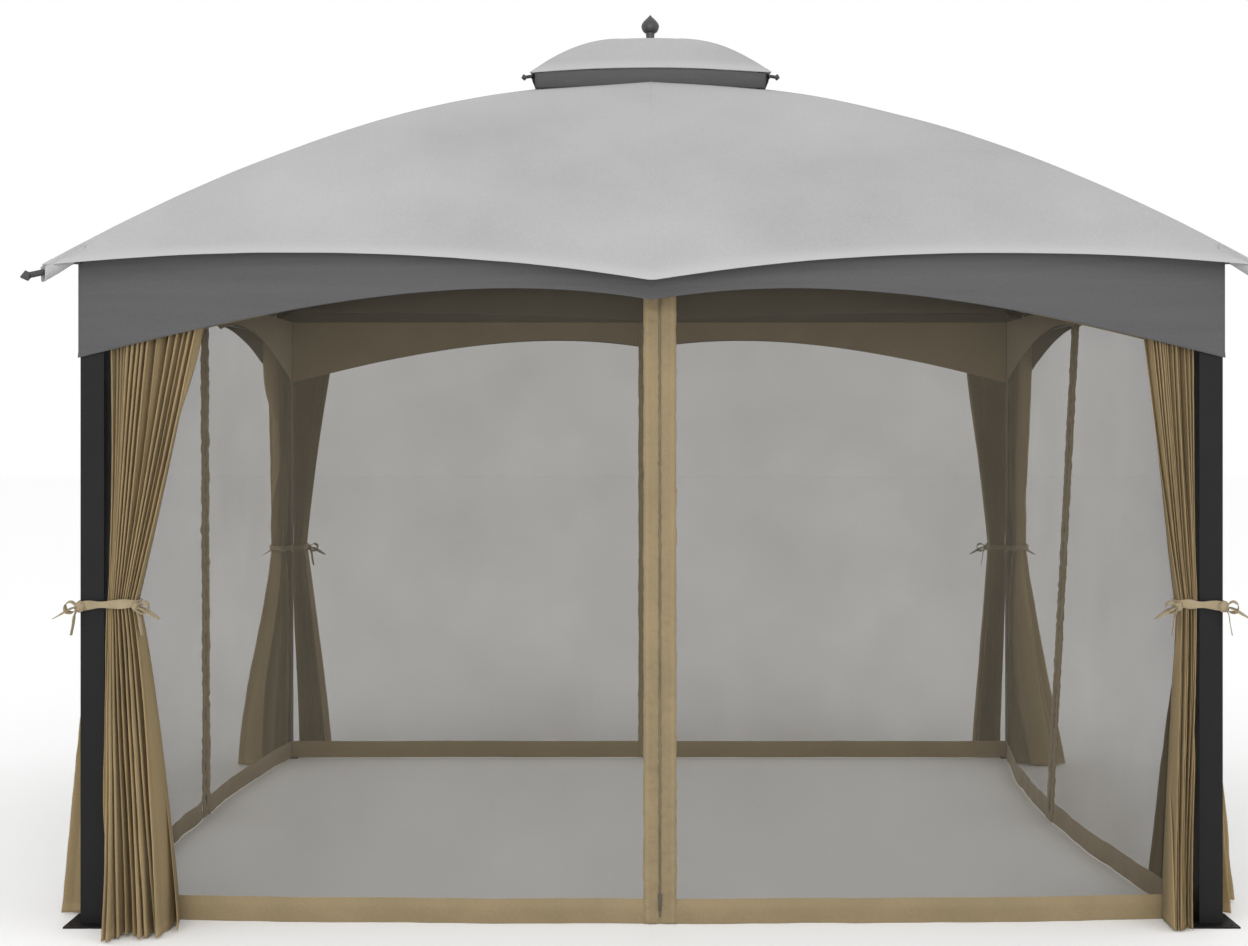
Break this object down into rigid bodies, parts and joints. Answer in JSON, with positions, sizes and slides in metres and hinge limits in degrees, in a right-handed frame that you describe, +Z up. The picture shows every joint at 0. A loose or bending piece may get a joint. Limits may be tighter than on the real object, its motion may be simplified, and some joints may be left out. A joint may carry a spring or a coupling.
{
  "type": "screen house",
  "caption": "Square-post garden shelter with a domed two-tier fabric roof, arched valance, zipped netting walls that slide and curtains tied back at the corners.",
  "frame": {"origin": "on the ground below the finial, in the middle of the four posts", "axes": "+Z up, +X along the long side to the right, the front wall faces -Y"},
  "size_m": [3.73, 3.12, 3.067],
  "materials": {
    "frame_steel": "satin powder coat, near black",
    "rail_aluminium": "satin",
    "zinc_steel": "satin",
    "cap_plastic": "matte",
    "zip_metal": "satin",
    "roof_cloth": "woven polyester, light grey",
    "valance_cloth": "woven polyester, dark grey",
    "curtain_cloth": "woven polyester, khaki",
    "net_mesh": "fine see-through mosquito netting"
  },
  "bodies": {
    "root": {"post_front_left": "frame_steel", "post_front_right": "frame_steel", "post_back_left": "frame_steel", "post_back_right": "frame_steel", "base_plates": "frame_steel", "corner_brackets": "frame_steel", "frame_bolts": "zinc_steel", "long_beams": "frame_steel", "short_beams": "frame_steel", "beam_sleeves": "frame_steel", "net_rails": "rail_aluminium", "curtain_rails": "rail_aluminium", "hip_rafters": "frame_steel", "mid_rafters": "frame_steel", "roof_ring": "frame_steel", "rafter_caps": "cap_plastic", "vent_legs": "frame_steel", "vent_rafters": "frame_steel", "vent_hub": "frame_steel", "vent_caps": "cap_plastic", "finial": "frame_steel", "roof_canopy": "roof_cloth", "vent_canopy": "roof_cloth", "vent_skirt": "valance_cloth", "valance": "valance_cloth", "curtain_ties": "curtain_cloth", "net_front": "net_mesh", "curtain_front_left": "curtain_cloth", "curtain_front_right": "curtain_cloth", "net_back": "net_mesh", "curtain_back_left": "curtain_cloth", "curtain_back_right": "curtain_cloth", "net_left": "net_mesh", "curtain_left_front": "curtain_cloth", "curtain_left_back": "curtain_cloth", "net_right": "net_mesh", "curtain_right_front": "curtain_cloth", "curtain_right_back": "curtain_cloth"},
    "net_edge_front_left": {"net_edge_front_left": "curtain_cloth"},
    "curtain_lead_front_left": {"curtain_lead_front_left": "cap_plastic"},
    "net_edge_front_right": {"net_edge_front_right": "curtain_cloth"},
    "curtain_lead_front_right": {"curtain_lead_front_right": "cap_plastic"},
    "zip_slider_front": {"zip_slider_front": "zip_metal"},
    "net_edge_back_left": {"net_edge_back_left": "curtain_cloth"},
    "curtain_lead_back_left": {"curtain_lead_back_left": "cap_plastic"},
    "net_edge_back_right": {"net_edge_back_right": "curtain_cloth"},
    "curtain_lead_back_right": {"curtain_lead_back_right": "cap_plastic"},
    "zip_slider_back": {"zip_slider_back": "zip_metal"},
    "net_edge_left_front": {"net_edge_left_front": "curtain_cloth"},
    "curtain_lead_left_front": {"curtain_lead_left_front": "cap_plastic"},
    "net_edge_left_back": {"net_edge_left_back": "curtain_cloth"},
    "curtain_lead_left_back": {"curtain_lead_left_back": "cap_plastic"},
    "zip_slider_left": {"zip_slider_left": "zip_metal"},
    "net_edge_right_front": {"net_edge_right_front": "curtain_cloth"},
    "curtain_lead_right_front": {"curtain_lead_right_front": "cap_plastic"},
    "net_edge_right_back": {"net_edge_right_back": "curtain_cloth"},
    "curtain_lead_right_back": {"curtain_lead_right_back": "cap_plastic"},
    "zip_slider_right": {"zip_slider_right": "zip_metal"}
  },
  "joints": [
    {"name": "net_edge_front_left_slide", "type": "slide", "parent": "root", "child": "net_edge_front_left", "axis": [-1, 0, 0], "range_m": [0, 1.493], "deforming": ["net_front"]},
    {"name": "curtain_lead_front_left_slide", "type": "slide", "parent": "root", "child": "curtain_lead_front_left", "axis": [1, 0, 0], "range_m": [0, 1.292], "deforming": ["curtain_front_left"]},
    {"name": "net_edge_front_right_slide", "type": "slide", "parent": "root", "child": "net_edge_front_right", "axis": [1, 0, 0], "range_m": [0, 1.443], "deforming": ["net_front"]},
    {"name": "curtain_lead_front_right_slide", "type": "slide", "parent": "root", "child": "curtain_lead_front_right", "axis": [-1, 0, 0], "range_m": [0, 1.292], "deforming": ["curtain_front_right"]},
    {"name": "zip_slider_front_slide", "type": "slide", "parent": "net_edge_front_left", "child": "zip_slider_front", "axis": [0, 0.0352, 0.9994], "range_m": [0, 1.75]},
    {"name": "net_edge_back_left_slide", "type": "slide", "parent": "root", "child": "net_edge_back_left", "axis": [-1, 0, 0], "range_m": [0, 1.5], "deforming": ["net_back"]},
    {"name": "curtain_lead_back_left_slide", "type": "slide", "parent": "root", "child": "curtain_lead_back_left", "axis": [1, 0, 0], "range_m": [0, 1.292], "deforming": ["curtain_back_left"]},
    {"name": "net_edge_back_right_slide", "type": "slide", "parent": "root", "child": "net_edge_back_right", "axis": [1, 0, 0], "range_m": [0, 1.5], "deforming": ["net_back"]},
    {"name": "curtain_lead_back_right_slide", "type": "slide", "parent": "root", "child": "curtain_lead_back_right", "axis": [-1, 0, 0], "range_m": [0, 1.292], "deforming": ["curtain_back_right"]},
    {"name": "zip_slider_back_slide", "type": "slide", "parent": "net_edge_back_left", "child": "zip_slider_back", "axis": [0, 0, 1], "range_m": [0, 1.75]},
    {"name": "net_edge_left_front_slide", "type": "slide", "parent": "root", "child": "net_edge_left_front", "axis": [0, -1, 0], "range_m": [0, 0.945], "deforming": ["net_left"]},
    {"name": "curtain_lead_left_front_slide", "type": "slide", "parent": "root", "child": "curtain_lead_left_front", "axis": [0, 1, 0], "range_m": [0, 0.987], "deforming": ["curtain_left_front"]},
    {"name": "net_edge_left_back_slide", "type": "slide", "parent": "root", "child": "net_edge_left_back", "axis": [0, 1, 0], "range_m": [0, 1.095], "deforming": ["net_left"]},
    {"name": "curtain_lead_left_back_slide", "type": "slide", "parent": "root", "child": "curtain_lead_left_back", "axis": [0, -1, 0], "range_m": [0, 0.987], "deforming": ["curtain_left_back"]},
    {"name": "zip_slider_left_slide", "type": "slide", "parent": "net_edge_left_front", "child": "zip_slider_left", "axis": [0.0421, -0.1735, 0.9839], "range_m": [0, 1.75]},
    {"name": "net_edge_right_front_slide", "type": "slide", "parent": "root", "child": "net_edge_right_front", "axis": [0, -1, 0], "range_m": [0, 1.225], "deforming": ["net_right"]},
    {"name": "curtain_lead_right_front_slide", "type": "slide", "parent": "root", "child": "curtain_lead_right_front", "axis": [0, 1, 0], "range_m": [0, 0.987], "deforming": ["curtain_right_front"]},
    {"name": "net_edge_right_back_slide", "type": "slide", "parent": "root", "child": "net_edge_right_back", "axis": [0, 1, 0], "range_m": [0, 1.165], "deforming": ["net_right"]},
    {"name": "curtain_lead_right_back_slide", "type": "slide", "parent": "root", "child": "curtain_lead_right_back", "axis": [0, -1, 0], "range_m": [0, 0.987], "deforming": ["curtain_right_back"]},
    {"name": "zip_slider_right_slide", "type": "slide", "parent": "net_edge_right_front", "child": "zip_slider_right", "axis": [0.0528, 0, 0.9986], "range_m": [0, 1.75]}
  ]
}
